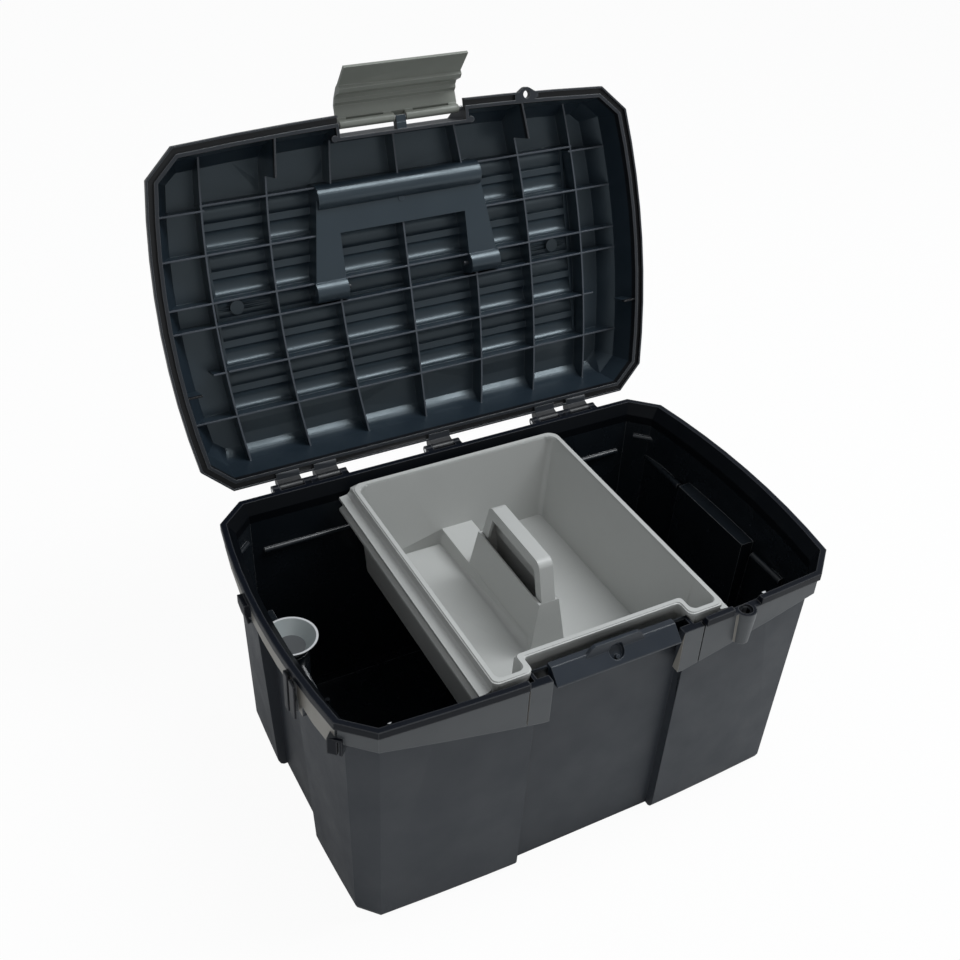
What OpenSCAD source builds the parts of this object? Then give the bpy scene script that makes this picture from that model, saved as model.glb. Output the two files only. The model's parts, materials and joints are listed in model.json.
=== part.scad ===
// Plastic toolbox with a hinged ribbed lid, front latch, folding carry handle,
// lift-out tray and a small hanging cup.
// Frame: origin at the centre of the base on the floor, +Z up, front towards -Y.
// The lid is drawn closed and then turned about the hinge line to its open pose.

/* [Body] */
// Width between the side rim corners
body_w = 400; // [370:1:430]
// Depth between the front and rear rim edges at the corners
body_d = 258.7; // [240:0.1:280]
// Height from floor to rim
body_h = 210; // [190:1:230]
// Corner cut measured along the front edge
corner_x = 22; // [16:0.5:28]
// Corner cut measured along the side edge
corner_y = 20.4; // [15:0.1:26]
// Outward bow of the side rim
side_bow = 9.6; // [4:0.1:12]
// Outward bow of the front rim
front_bow = 6; // [3:0.1:8]
// Wall thickness
wall = 2.8; // [2.4:0.1:3.4]
// Floor thickness
floor_t = 3.2; // [2.6:0.1:4]
// Height of the rim band
rim_h = 6; // [4:0.5:8]
// Width of the rim band seen from above
rim_w = 4.5; // [3.5:0.1:5.5]
// Inset of the skirt band under the rim
skirt_in = 1.75; // [1:0.05:3]
// Drop of the skirt at the front notch
skirt_front = 44; // [38:1:52]
// Drop of the skirt at the front corners
skirt_corner = 20; // [15:0.5:24]
// Drop of the skirt along the sides
skirt_side = 21; // [16:0.5:26]
// Inset of the side wall at the base
base_in_x = 14; // [11:0.5:17]
// Inset of the front and rear wall at the base
base_in_y = 9.8; // [8:0.1:12]
// Inset of the side wall under the rim
top_in_x = 7.5; // [6:0.1:9]
// Inset of the front and rear wall under the rim
top_in_y = 6; // [5:0.1:7]
// Rounding height of the bottom edge
base_round = 6; // [3:0.5:8]

/* [Front catch] */
// Half width of the rim notch
notch_half = 53.3; // [49:0.1:56]
// Half width of the recessed front panel
panel_half = 62; // [58:0.5:68]
// Set-back of the recessed front panel behind the front rim corners, at the base
panel_in = 13.35; // [10.4:0.05:16.4]
// Half width of the catch bar
bar_half = 50.4; // [46:0.1:51]
// Forward reach of the catch bar past the front rim corners
bar_out = 4.65; // [1.6:0.05:5.7]
// Height of the catch bar
bar_h = 10.5; // [8:0.1:13]
// Drop of the catch bar top below the rim
bar_drop = 2.5; // [1:0.1:3]
// Half width of the centre tab
tab_half = 24; // [18:0.5:28]
// Height of the centre tab above the rim
tab_h = 4.2; // [2:0.1:4.4]
// Radius of the finger dimple in the bar
dimple_r = 6; // [4:0.1:6.5]

/* [Side recess] */
// Depth position of the side recess panel at the base
side_panel_x = 181; // [178:0.5:183]
// Front end of the side recess
side_panel_y0 = -36; // [-44:1:-30]
// Rear end of the side recess
side_panel_y1 = 46; // [40:1:52]
// Drop of the top of the side recess below the rim
side_panel_drop = 45; // [35:1:60]

/* [Lid] */
// Height of the lid from rim to crown of the panel
lid_h = 42.5; // [39:0.5:46]
// Lid skin thickness
lid_wall = 2.5; // [2.2:0.1:3]
// Opening angle of the lid
lid_angle = 107.65; // [95:0.05:115]
// Width of the lid flange
flange_w = 8; // [7:0.1:9]
// Thickness of the two lips that run round the lid flange
lip_t = 1.5; // [1.2:0.1:2.2]
// Depth of the groove between the two lips
lip_groove = 2.6; // [1.6:0.1:2.8]
// Thickness of the lid flange
flange_t = 4.5; // [3.5:0.1:5.5]
// Height of the free edges of the stiffening ribs
rib_z = 24.5; // [21:0.1:27]
// Rib thickness
rib_t = 1.4; // [1.2:0.1:2.4]
// Pitch of the flutes across the lid panel
flute_pitch = 18; // [16.5:0.1:18.4]
// Number of flutes
flute_n = 9; // [8:1:9]
// Length of the flutes
flute_len = 316; // [300:1:330]
// Depth of the grooves between flutes
groove_h = 2.3; // [1.6:0.1:2.6]
// Radius of a flute
flute_r = 9.4; // [9:0.1:10]
// Spacing of the inner lengthwise ribs
rib_x1 = 60.5; // [57:0.1:63]
// Distance of the second pair of lengthwise ribs
rib_x2 = 112; // [108:0.1:116]
// Distance of the outer pair of lengthwise ribs
rib_x3 = 162.5; // [160:0.1:168]
// Bow radius of the lengthwise ribs
rib_bow_r = 850; // [700:10:1200]

/* [Handle recess] */
// Half width of the recess at the grip
recess_half = 70; // [66:0.5:73]
// Half width of the recess at the pivots
recess_pivot_half = 80.8; // [79:0.1:83]
// Half width of the raised middle between the recess legs
recess_mid_half = 54.4; // [51:0.1:56]
// Set-back of the recess behind the front rim corners
recess_in = 46.15; // [46.15:0.05:49]
// Depth of the grip part of the recess from front to rear
well_len = 36.8; // [33:0.1:41]
// Reach from the grip axis to the pivot axis of the handle
handle_reach = 71.4; // [69:0.1:73]
// Outer radius of the grip trough
trough_r = 9.7; // [9:0.1:10]
// Outer radius of the pivot bosses
boss_r = 9; // [8:0.1:9.4]
// Height of the recess underside above the rim
recess_z = 23; // [22:0.1:25]
// Height of the handle pivot above the rim
pivot_z = 27.5; // [27:0.1:29]
// Radius of the handle pivot pins
handle_pin_r = 2; // [1.6:0.1:2.4]

/* [Carry handle] */
// Width of a handle leg
leg_w = 17; // [14:0.5:19]
// Radius of the grip bar
grip_r = 6.4; // [5:0.1:6.9]
// Height of the handle top above the rim
handle_top = 42.6; // [40:0.1:43]

/* [Latch] */
// Half width of the latch
latch_half = 50.2; // [46:0.1:50.2]
// Half width of the latch recess in the lid
latch_recess_half = 52.5; // [52:0.1:54]
// Set-back of the latch pivot behind the front rim corners
latch_in = 1.85; // [0.85:0.05:2.85]
// Height of the latch pivot above the rim
latch_z = 8.2; // [8:0.1:9]
// Swing of the latch from closed to open
latch_angle = 52; // [40:1:60]
// Latch plate thickness
latch_t = 2.2; // [1.8:0.1:2.6]
// Length of the latch from pivot to free edge
latch_len = 48.3; // [44:0.1:52]
// Radius of the latch pivot rod
latch_pin_r = 1.6; // [1.3:0.1:1.8]

/* [Hinge] */
// Hinge line distance behind the rear rim edge
hinge_back = 6.34; // [6:0.01:8]
// Hinge line drop below the rim
hinge_drop = 2.95; // [2.5:0.05:3.5]
// Knuckle radius
knuckle_r = 3.55; // [3.2:0.05:3.8]
// Hinge pin radius
hinge_pin_r = 1.5; // [1.2:0.1:1.8]
// Length of one hinge unit
hinge_len = 31.4; // [28:0.1:34]
// Length of the lid knuckle in each unit
lid_knuckle = 19; // [16:0.5:21]
// Distance of the outer hinge pairs from the middle
hinge_x = 116.8; // [110:0.1:122]
// Sideways offset of the hinge line
hinge_shift = -1.2; // [-3:0.1:3]

/* [Padlock eyes] */
// Distance of the padlock eyes from the middle
eye_x = 107.6; // [100:0.1:110]
// Reach of the eye centres past the front rim corners
eye_out = 1.85; // [1.4:0.05:3]
// Drop of the lower eye below the rim
eye_drop = 5.5; // [5:0.1:6]
// Radius of the lower eye
eye_r = 8; // [7.4:0.1:9]
// Thickness of the lower eye
eye_t = 6.5; // [5:0.1:8]
// Radius of the shallow counterbore in the lower eye
eye_sink_r = 5.2; // [4.5:0.1:5.8]
// Depth of the counterbore
eye_sink = 1.5; // [1:0.1:2]
// Radius of the upper eye
lid_eye_r = 5.6; // [5.2:0.1:7]
// Radius of the hole in the lower eye
eye_hole_r = 3.2; // [2.8:0.1:3.6]
// Radius of the hole in the upper eye
lid_eye_hole_r = 3; // [2.6:0.1:3.4]

/* [Tray] */
// Half width of the tray rim
tray_half = 93.5; // [88:0.5:96]
// Set-back of the tray ears behind the front rim corners
tray_in_front = 5.45; // [5.2:0.05:7]
// Set-back of the tray in front of the rear rim edge
tray_in_rear = 15.35; // [14.4:0.05:17.3]
// Reach of the tray ears past the front wall
ear_len = 14.4; // [12.5:0.1:16]
// Half width between the tray ears
ear_half = 63.5; // [63.5:0.5:67]
// Inner depth of the tray
tray_depth = 80; // [70:1:90]
// Wall thickness of the tray
tray_wall = 2.4; // [2:0.1:3]
// Width of the rounded tray rim
tray_rim = 4.5; // [4:0.1:5]
// Height of the turned-down lip under the tray rim
tray_lip = 10; // [7:0.5:12]
// Corner radius of the tray
tray_r = 9; // [7:0.5:11]
// Sideways inset of the tray floor
tray_draft = 7; // [5:0.5:9]
// Inward slope of the front and rear tray walls over their height
tray_end_draft = 4.2; // [4.2:0.1:5]
// Reach of the side ledges past the tray rim
ledge_out = 8; // [6:0.5:9]

/* [Tray grip] */
// Half width of the grip pedestal at the floor
pedestal_half = 16; // [14:0.5:18]
// Half width of the pedestal ledge
ledge_half = 8.5; // [7.5:0.1:9.5]
// Depth of the pedestal ledge below the rim
ledge_z = 32; // [30:0.5:34]
// Depth of the low hump below the rim
hump_z = 65; // [62:0.5:68]
// Distance of the pedestal's front end from the tray ears
pedestal_front = 80.9; // [76:0.1:84]
// Distance of the pedestal's rear end from the rear of the tray
pedestal_rear = 59; // [56:0.5:62]
// Half thickness of the grip
grip_half = 5.9; // [5.2:0.1:6.4]
// Lean of the grip's ends over the height above the ledge
grip_lean = 8.8; // [6:0.1:11]
// Radius of the grip's upper corners
grip_round = 7; // [5:0.5:8]
// Width of the grip frame around the finger window
frame_w = 8.2; // [6:0.1:9.5]
// Thickness of the pedestal wall that is left beside the finger window
sill = 1.3; // [1:0.1:1.8]

/* [Cup] */
// Radius of the cup mouth
cup_r = 19.7; // [17:0.1:21]
// Radius of the cup floor
cup_floor_r = 11; // [10:0.1:12.5]
// Distance from the cup centre to its flat side
cup_flat = 7.9; // [7:0.1:10]
// Depth position of the cup
cup_y = -3.1; // [-10:0.1:4]
// Drop of the cup mouth below the rim
cup_drop = 22; // [18:0.5:26]
// Depth of the cup
cup_depth = 11; // [9:0.5:13]
// Wall thickness of the cup
cup_wall = 1.6; // [1.4:0.1:2]
// Radius of the post that carries the cup
post_r = 13; // [12:0.1:14]
// Radius of the spigot under the cup
spigot_r = 7.5; // [6:0.1:8]
// Length of the spigot under the cup
spigot_len = 14; // [8:0.5:20]

/* [Hidden] */
eps = 0.02;
gap = 0.3;
run = 0.05;
panel_tilt = 1.3;
half_w = body_w / 2;
half_d = body_d / 2;
arc_steps = 8;
hinge_y = half_d + hinge_back;
hinge_z = body_h - hinge_drop;
panel_y = half_d - panel_in;
panel_top_y = panel_y + body_h * sin(panel_tilt);
bar_y = half_d + bar_out;
latch_y = latch_in - half_d;
eye_y = half_d + eye_out;
flare_drop = 10;
side_tilt = 1.8;
shelf_drop = 46;
unit_x = [hinge_shift - hinge_x - hinge_len / 2, hinge_shift - hinge_x + hinge_len / 2, hinge_shift,
          hinge_shift + hinge_x - hinge_len / 2, hinge_shift + hinge_x + hinge_len / 2];
recess_y0 = recess_in - half_d;
recess_y1 = recess_y0 + well_len;
grip_y = recess_y0 + 8.2;
pivot_y = grip_y + handle_reach;
flute_y0 = recess_y0 + 0.2;
trough_z = recess_z + 4;
hub_r = 4.4;
groove_z = lid_h - groove_h;
flute_z = groove_z - 5.9;
tray_y0 = tray_in_front - half_d;
tray_y1 = half_d - tray_in_rear;
tray_front = tray_y0 + ear_len;
pedestal_y0 = tray_y0 + pedestal_front;
pedestal_y1 = tray_y1 - pedestal_rear;
tray_floor_z = body_h - tray_depth;
ledge_top_z = body_h - ledge_z;
cup_z = body_h - cup_drop - cup_depth;
cup_x = cup_flat + gap - side_inner(cup_y - cup_r, cup_z + cup_depth / 2);
post_top = cup_z - gap;

// Reach of the inner side wall from the middle at a depth and a height
function side_inner(y, z) =
    let (t = (body_h - flare_drop - z) / (body_h - flare_drop - floor_t - base_round),
         bow = side_bow - 1 - t * (side_bow - 4))
    half_w - top_in_x - wall - t * (base_in_x - top_in_x) + bow * (1 - pow(y / (half_d - corner_y), 2));

// ---------------------------------------------------------------- plan outlines

function arc_points(a, b, bow, steps) =
    [for (i = [0 : steps - 1])
        let (t = i / steps, d = b - a)
        a + t * d + [d[1], -d[0]] / norm(d) * 4 * bow * t * (1 - t)];

function plan(gx, gy, side, front) =
    let (x1 = half_w - corner_x - 0.41 * gx, x2 = half_w - gx,
         y1 = half_d - gy, y2 = half_d - corner_y - 0.41 * gy)
    concat(arc_points([-x1, -y1], [x1, -y1], front, arc_steps),
           [[x1, -y1]],
           arc_points([x2, -y2], [x2, y2], side, arc_steps),
           [[x2, y2], [x1, y1], [-x1, y1]],
           arc_points([-x2, y2], [-x2, -y2], side, arc_steps),
           [[-x2, -y2]]);

module slice(z, gx, gy, side, front)
    translate([0, 0, z])
        linear_extrude(eps)
            polygon(plan(gx, gy, side, front));

module ring(z0, z1, g0, g1)
    translate([0, 0, z0])
        linear_extrude(z1 - z0)
            difference() {
                polygon(plan(g0, g0, side_bow, front_bow));
                polygon(plan(g1, g1, side_bow, front_bow));
            }

module along_x(x0, x1, y, z, r, fn = 32)
    translate([x0, y, z])
        rotate([0, 90, 0])
            cylinder(h = x1 - x0, r = r, $fn = fn);

module prism_x(x0, x1, points)
    translate([x0, 0, 0])
        rotate([90, 0, 90])
            linear_extrude(x1 - x0)
                polygon(points);

module box(p, q)
    translate(p)
        cube(q - p);

module mirror_x() {
    children();
    mirror([1, 0, 0])
        children();
}

// ---------------------------------------------------------------- tub

module tub_outer()
    hull() {
        slice(0, base_in_x + 4, base_in_y + 4, 2.5, front_bow - 1);
        slice(base_round * 0.3, base_in_x + 1.5, base_in_y + 1.5, 2.5, front_bow - 1);
        slice(base_round, base_in_x, base_in_y, 3, front_bow - 0.5);
        slice(body_h - rim_h - eps, top_in_x, top_in_y, side_bow - 1, front_bow);
    }

module tub_inner()
    hull() {
        slice(floor_t, base_in_x + wall + 3, base_in_y + wall + 3, 2.5, front_bow - 1);
        slice(floor_t + base_round, base_in_x + wall, base_in_y + wall, 3, front_bow - 0.5);
        slice(body_h - flare_drop, top_in_x + wall, top_in_y + wall, side_bow - 1, front_bow);
        slice(body_h, top_in_x + wall - 0.3, top_in_y + wall - 0.3, side_bow - 1, front_bow);
    }

module tub_flare()
    hull() {
        slice(body_h - flare_drop, top_in_x + wall, top_in_y + wall, side_bow - 1, front_bow);
        slice(body_h, rim_w, rim_w, side_bow, front_bow);
    }

// Recess pockets in the outside; grown by t they leave a wall on the inside.
module front_pocket(t)
    translate([-panel_half - t, -panel_y + t, 0])
        rotate([panel_tilt, 0, 0])
            translate([0, -body_d, -body_h])
                cube([2 * (panel_half + t), body_d, 2 * body_h - (t > 0 ? bar_drop : 0)]);

module side_pocket(t)
    translate([side_panel_x - t, side_panel_y0 - t, 0])
        rotate([0, side_tilt, 0])
            translate([0, 0, -body_h])
                cube([body_w, side_panel_y1 - side_panel_y0 + 2 * t, 2 * body_h - side_panel_drop + t]);

// The skirt is deepest beside the notch, where a slit frees the flap at its end.
module tub_skirt() {
    side_y0 = -half_d + 51.3;
    side_y1 = -half_d + 83.3;
    difference() {
        skirt_band(side_y0, side_y1);
        mirror_x()
            box([notch_half + 17, -body_d, 0], [notch_half + 18, -half_d + 2, body_h]);
    }
}

module skirt_band(side_y0, side_y1)
    intersection() {
        ring(body_h - skirt_front, body_h - rim_h + eps, skirt_in, top_in_x + 1);
        union() {
            translate([0, -half_d + corner_y, body_h])
                rotate([90, 0, 0])
                    linear_extrude(body_d)
                        polygon([[-half_w, -skirt_corner], [corner_x - half_w, -skirt_corner],
                                 [-notch_half - 4, -skirt_front], [notch_half + 4, -skirt_front],
                                 [half_w - corner_x, -skirt_corner], [half_w, -skirt_corner],
                                 [half_w, 0], [-half_w, 0]]);
            prism_x(-body_w, body_w,
                    [[-half_d + corner_y + 2, body_h], [-half_d + corner_y + 2, body_h - skirt_side - 8],
                     [side_y0, body_h - skirt_side - 7], [side_y1, body_h - skirt_side],
                     [half_d, body_h - skirt_side], [half_d, body_h]]);
        }
    }

module tub_notch() {
    box([-notch_half, -body_d, body_h - skirt_front - 1], [notch_half, -bar_y + bar_h, body_h + 10]);
    mirror_x()
        box([notch_half - eps, -body_d, body_h - rim_h], [notch_half + 18.2, -half_d + 12, body_h + 1]);
    box([eye_x - eye_r - 4, -body_d, body_h - eye_drop], [eye_x + eye_r + 5.5, -half_d + 12, body_h + 1]);
}

module catch_bar() {
    prism_x(-bar_half, bar_half,
            [[-panel_y - 3, body_h - bar_drop - bar_h], [-bar_y, body_h - bar_drop - bar_h],
             [-bar_y, body_h - bar_drop - bar_h + 1.3], [-bar_y + 10, body_h - bar_drop],
             [-panel_y - 3, body_h - bar_drop]]);
    translate([0, -bar_y + 11, body_h])
        rotate([90, 0, 0])
            linear_extrude(3)
                polygon([[-tab_half, -bar_drop - 2], [tab_half, -bar_drop - 2], [tab_half - 4, tab_h - 1.6],
                         [tab_half - 7, tab_h], [7 - tab_half, tab_h], [4 - tab_half, tab_h - 1.6]]);
}

module catch_dimple()
    translate([0, 7 - bar_y, body_h - bar_drop - 3])
        rotate([48, 0, 0])
            difference() {
                cylinder(h = 6, r = dimple_r, center = true, $fn = 48);
                translate([0, 2 - dimple_r, -3])
                    cylinder(h = 3, r = 1.6, $fn = 24);
            }

module hinge_knuckles(x, len)
    along_x(x - len / 2, x + len / 2, hinge_y, hinge_z, knuckle_r);

module hinge_arm_tub(x, len)
    prism_x(x - len / 2, x + len / 2,
            [[half_d - 1, body_h - rim_h], [hinge_y, hinge_z - knuckle_r],
             [hinge_y, hinge_z + knuckle_r - 0.9], [half_d - 1, body_h]]);

module tub_hinges() {
    tub_len = (hinge_len - lid_knuckle) / 2 - gap - gap / 2;
    for (x = unit_x) {
        for (s = [-1, 1]) {
            hinge_knuckles(x + s * (hinge_len - gap - tub_len) / 2, tub_len);
            hinge_arm_tub(x + s * (hinge_len - gap - tub_len) / 2, tub_len);
        }
    }
}

// Boss of the lower padlock eye; the skirt and the boss share one hollow below.
module eye_boss()
    translate([eye_x, -eye_y, body_h - skirt_corner - 14]) {
        cylinder(h = skirt_corner + 14 - eye_drop - eye_t, r1 = eye_r - 1.5, r2 = eye_r, $fn = 48);
        translate([0, 0, skirt_corner + 14 - eye_drop - eye_t])
            cylinder(h = eye_t, r = eye_r, $fn = 48);
    }

module eye_hollow()
    translate([eye_x, -eye_y, 0])
        cylinder(h = body_h - eye_drop - eye_t, r = eye_r - wall + 0.4, $fn = 48);

module eye_bore() {
    translate([eye_x, -eye_y, body_h - eye_drop - eye_t - 1])
        cylinder(h = eye_t + 2, r = eye_hole_r, $fn = 48);
    translate([eye_x, -eye_y, body_h - eye_drop - eye_sink])
        cylinder(h = eye_sink + 1, r = eye_sink_r, $fn = 48);
}

// Outside holders on the left: a lug, a pair of hanging channels and a corner hook.
module side_holders() {
    lug_x = half_w + side_bow + 3;
    translate([0, -half_d + 165, body_h])
        rotate([90, 0, 0])
            linear_extrude(14)
                polygon([[-lug_x, -rim_h], [-lug_x, -13], [-lug_x + 2, -23], [-half_w, -23],
                         [-half_w, -rim_h]]);
    side_channel(-half_d + 76, 6, half_w + 10, 39);
    side_channel(-half_d + 64.4, 8, half_w + 9.8, 35.5);
    translate([-half_w + 1.6, -half_d + corner_y + 0.6, body_h])
        rotate([0, 0, -43])
            difference() {
                box([-5.2, -2.4, -28.5], [5.2, 5, -14.5]);
                box([1.6, -3, -28.6], [2.8, 0, -16]);
            }
}

// One hanging channel, open to the front
module side_channel(y, depth, x, drop)
    difference() {
        box([-x, y, body_h - drop], [-half_w + 4, y + depth, body_h - rim_h]);
        translate([1.4 - x, y - 1, body_h - drop - 1])
            cube([x - half_w - 5.6, depth - 0.4, drop]);
    }

// Small studs on the slope inside the rim
module rim_studs()
    for (p = [[-half_w + 6.8, -half_d + 46], [-half_w + 33, -half_d + 8.8], [eye_x + 21, -half_d + 5.2]])
        translate([p[0], p[1], body_h - flare_drop - 2])
            cylinder(h = flare_drop - 1, r = 1.6, $fn = 24);

module tub_ledges() {
    ledge_top = body_h - shelf_drop - gap;
    rear_y = half_d - top_in_y - wall - 1;
    along_x(-half_w + 36, half_w - 34, rear_y, body_h - shelf_drop, 2.4, 24);
    box([-ear_half + 4, tray_y1 - tray_wall - 1.6, ledge_top - 4], [ear_half - 4, rear_y + 2, ledge_top]);
    mirror_x() {
        box([ear_half + 4, -half_d, ledge_top - 4], [tray_half - 3.5, tray_y0 + tray_wall + 1.4, ledge_top]);
        translate([half_w - base_in_x / 2 - wall, 0, body_h - shelf_drop - 4])
            rotate([-90, 0, 0]) {
                translate([0, 0, side_panel_y1 + 10])
                    cylinder(h = 50, r = 3, $fn = 24);
                translate([0, 0, side_panel_y0 - 46])
                    cylinder(h = 36, r = 3, $fn = 24);
            }
        translate([half_w - corner_x, half_d - top_in_y - wall - 4, body_h - 30])
            rotate([0, 90, -43])
                translate([0, -1.5, 2])
                    cylinder(h = 18, r = 2.4, $fn = 24);
    }
}

module cup_post()
    translate([cup_x, cup_y, 0])
        cylinder(h = post_top, r = post_r, $fn = 64);

module cup_socket()
    translate([cup_x, cup_y, post_top - spigot_len - gap])
        cylinder(h = spigot_len + 1, r = spigot_r + gap, $fn = 48);

module tub() color([0.27, 0.29, 0.31])
    difference() {
        union() {
            difference() {
                union() {
                    difference() {
                        tub_outer();
                        front_pocket(0);
                        mirror_x()
                            side_pocket(0);
                    }
                    difference() {
                        union() {
                            tub_skirt();
                            eye_boss();
                        }
                        eye_hollow();
                    }
                    ring(body_h - rim_h, body_h, 0, top_in_x + 1);
                    side_holders();
                }
                difference() {
                    union() {
                        tub_inner();
                        tub_flare();
                    }
                    front_pocket(wall);
                    mirror_x()
                        side_pocket(wall);
                    tub_ledges();
                    rim_studs();
                    cup_post();
                }
                tub_notch();
            }
            catch_bar();
            tub_hinges();
        }
        catch_dimple();
        cup_socket();
        along_x(-half_w, half_w, hinge_y, hinge_z, hinge_pin_r + run);
        eye_bore();
    }

// ---------------------------------------------------------------- lid, drawn closed

module lid_pose()
    translate([0, hinge_y, hinge_z])
        rotate([-lid_angle, 0, 0])
            translate([0, -hinge_y, body_h - hinge_z])
                children();

module lid_outer()
    hull() {
        slice(gap, flange_w - lid_wall, flange_w - lid_wall, side_bow, front_bow);
        slice(rib_z, 12.5 - lid_wall, 12.5 - lid_wall, side_bow - 1, front_bow - 1);
        slice(lid_h - eps, 22 - lid_wall, 22 - lid_wall, side_bow - 1, front_bow - 1);
    }

module lid_inner()
    hull() {
        slice(-1, flange_w, flange_w, side_bow, front_bow);
        slice(rib_z, 12.5, 12.5, side_bow - 1, front_bow - 1);
        slice(lid_h - lid_wall - eps, 22, 22, side_bow - 1, front_bow - 1);
    }

module lid_flange()
    difference() {
        ring(gap, flange_t, 0, flange_w);
        ring(gap - 1, gap + lip_groove, lip_t, flange_w - lip_t);
    }

module flute_field(z0, z1)
    box([-flute_len / 2, flute_y0, z0], [flute_len / 2, flute_y0 + flute_n * flute_pitch, z1]);

module flutes(r, inset, z0)
    intersection() {
        for (i = [0 : flute_n - 1])
            along_x(inset - flute_len / 2, flute_len / 2 - inset, flute_y0 + (i + 0.5) * flute_pitch,
                    flute_z, r, 48);
        flute_field(z0, lid_h + 10);
    }

module bowed_rib(x, y0, y1, z0)
    intersection() {
        translate([x - rib_bow_r, 0, z0])
            difference() {
                cylinder(h = lid_h - z0, r = rib_bow_r + rib_t / 2, $fn = 360);
                translate([0, 0, -1])
                    cylinder(h = lid_h + 2, r = rib_bow_r - rib_t / 2, $fn = 360);
            }
        box([x - 40, y0, 0], [x + 10, y1, lid_h]);
    }

module lid_ribs()
    intersection() {
        lid_outer();
        union() {
            box([-rib_t / 2, -half_d, rib_z], [rib_t / 2, half_d, lid_h - 1]);
            mirror_x() {
                bowed_rib(rib_x1, -half_d, half_d, rib_z);
                bowed_rib(rib_x2, -half_d, half_d, rib_z);
                bowed_rib(rib_x3, -half_d, half_d, rib_z);
                bowed_rib(rib_x2, -half_d, -half_d + 32, gap);
                box([rib_x3 - 6, flute_y0 + 3, rib_z], [half_w, flute_y0 + 3 + rib_t, lid_h - 1]);
                for (i = [2, 4, 5, 9])
                    box([rib_x3 - 6, flute_y0 + i * flute_pitch - rib_t / 2, rib_z],
                        [half_w + side_bow, flute_y0 + i * flute_pitch + rib_t / 2, lid_h - 1]);
                box([rib_x3 - 1, flute_y0 + 7 * flute_pitch - rib_t / 2, rib_z],
                    [rib_x3 + 9, flute_y0 + 7 * flute_pitch + rib_t / 2, lid_h - 1]);
                box([half_w - 12, flute_y0 + 7 * flute_pitch + 7, 1.5],
                    [half_w + side_bow, flute_y0 + 7 * flute_pitch + 7 + rib_t, 17]);
            }
            for (i = [0, 2, 4, 5, 7, 9])
                box([-rib_x3 + 3, flute_y0 + i * flute_pitch - rib_t / 2, rib_z],
                    [rib_x3 - 3, flute_y0 + i * flute_pitch + rib_t / 2, lid_h - 1]);
        }
    }

// U-shaped pocket for the folded handle, with a rounded grip trough in front
// and rounded pivot bosses at the leg ends. Grown by t it is the housing.
module recess_plan(t)
    offset(delta = t)
        difference() {
            polygon([[-recess_half + lid_wall, recess_y0 + 8], [recess_half - lid_wall, recess_y0 + 8],
                     [recess_pivot_half - lid_wall, pivot_y], [-recess_pivot_half + lid_wall, pivot_y]]);
            translate([-recess_mid_half - lid_wall, recess_y1 - lid_wall])
                square([2 * (recess_mid_half + lid_wall), body_d]);
        }

module handle_recess(t) {
    grip_hole = trough_r - lid_wall + t;
    boss_hole = boss_r - lid_wall + t;
    top_z = lid_h + (t > 0 ? -0.5 : 5);
    translate([0, 0, recess_z + lid_wall - t])
        linear_extrude(top_z - recess_z - lid_wall + t)
            recess_plan(t);
    along_x(-recess_half + lid_wall - t, recess_half - lid_wall + t, grip_y, trough_z, grip_hole, 48);
    box([-recess_half + lid_wall - t, grip_y - grip_hole, trough_z],
        [recess_half - lid_wall + t, grip_y + 4, top_z]);
    mirror_x() {
        along_x(recess_mid_half + lid_wall - t, recess_pivot_half - lid_wall + t, pivot_y, pivot_z,
                boss_hole, 48);
        box([recess_mid_half + lid_wall - t, pivot_y - 1, pivot_z],
            [recess_pivot_half - lid_wall + t, pivot_y + boss_hole, top_z]);
    }
}

module latch_housing(t)
    box([-latch_recess_half - t, -body_d, -1 + (t > 0 ? 1 + gap : 0)],
        [latch_recess_half + t, latch_y + 8.5 + t, body_h]);

module latch_bracket()
    difference() {
        union() {
            along_x(-4, 4, latch_y, latch_z, 3.2);
            box([-4, latch_y, latch_z - 3], [4, latch_y + 10, latch_z + 3.2]);
        }
        box([-5, latch_y - 4, -1], [5, latch_y + 4, latch_z - 2.8]);
    }

module hinge_arm_lid(x)
    prism_x(x - lid_knuckle / 2, x + lid_knuckle / 2,
            [[half_d - 5, gap], [half_d + 0.5, gap], [hinge_y - knuckle_r, -hinge_drop],
             [hinge_y + knuckle_r, -hinge_drop], [hinge_y + knuckle_r, 0], [hinge_y - 1, 6.5],
             [half_d - 5, 6.5]]);

// Upper padlock eye with fairings to both sides
module lid_eye()
    translate([eye_x, -eye_y, gap])
        linear_extrude(flange_t - gap)
            hull() {
                circle(r = lid_eye_r, $fn = 48);
                translate([-10.5, 0])
                    square([21, 3]);
            }

// Round pads in the single flute, a pip behind the trough and two by the latch recess
module lid_pips() {
    mirror_x() {
        translate([141, flute_y0 + 4.5 * flute_pitch, groove_z - lid_wall - 0.4])
            cylinder(h = 4, r = 5.6, $fn = 32);
        translate([latch_recess_half + lid_wall + 2, latch_y + 9, gap])
            cylinder(h = 6, r = 2.5, $fn = 24);
    }
    translate([0, grip_y + 9.5, recess_z - 0.8])
        cylinder(h = 1.5, r = 2.8, $fn = 24);
}

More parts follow.
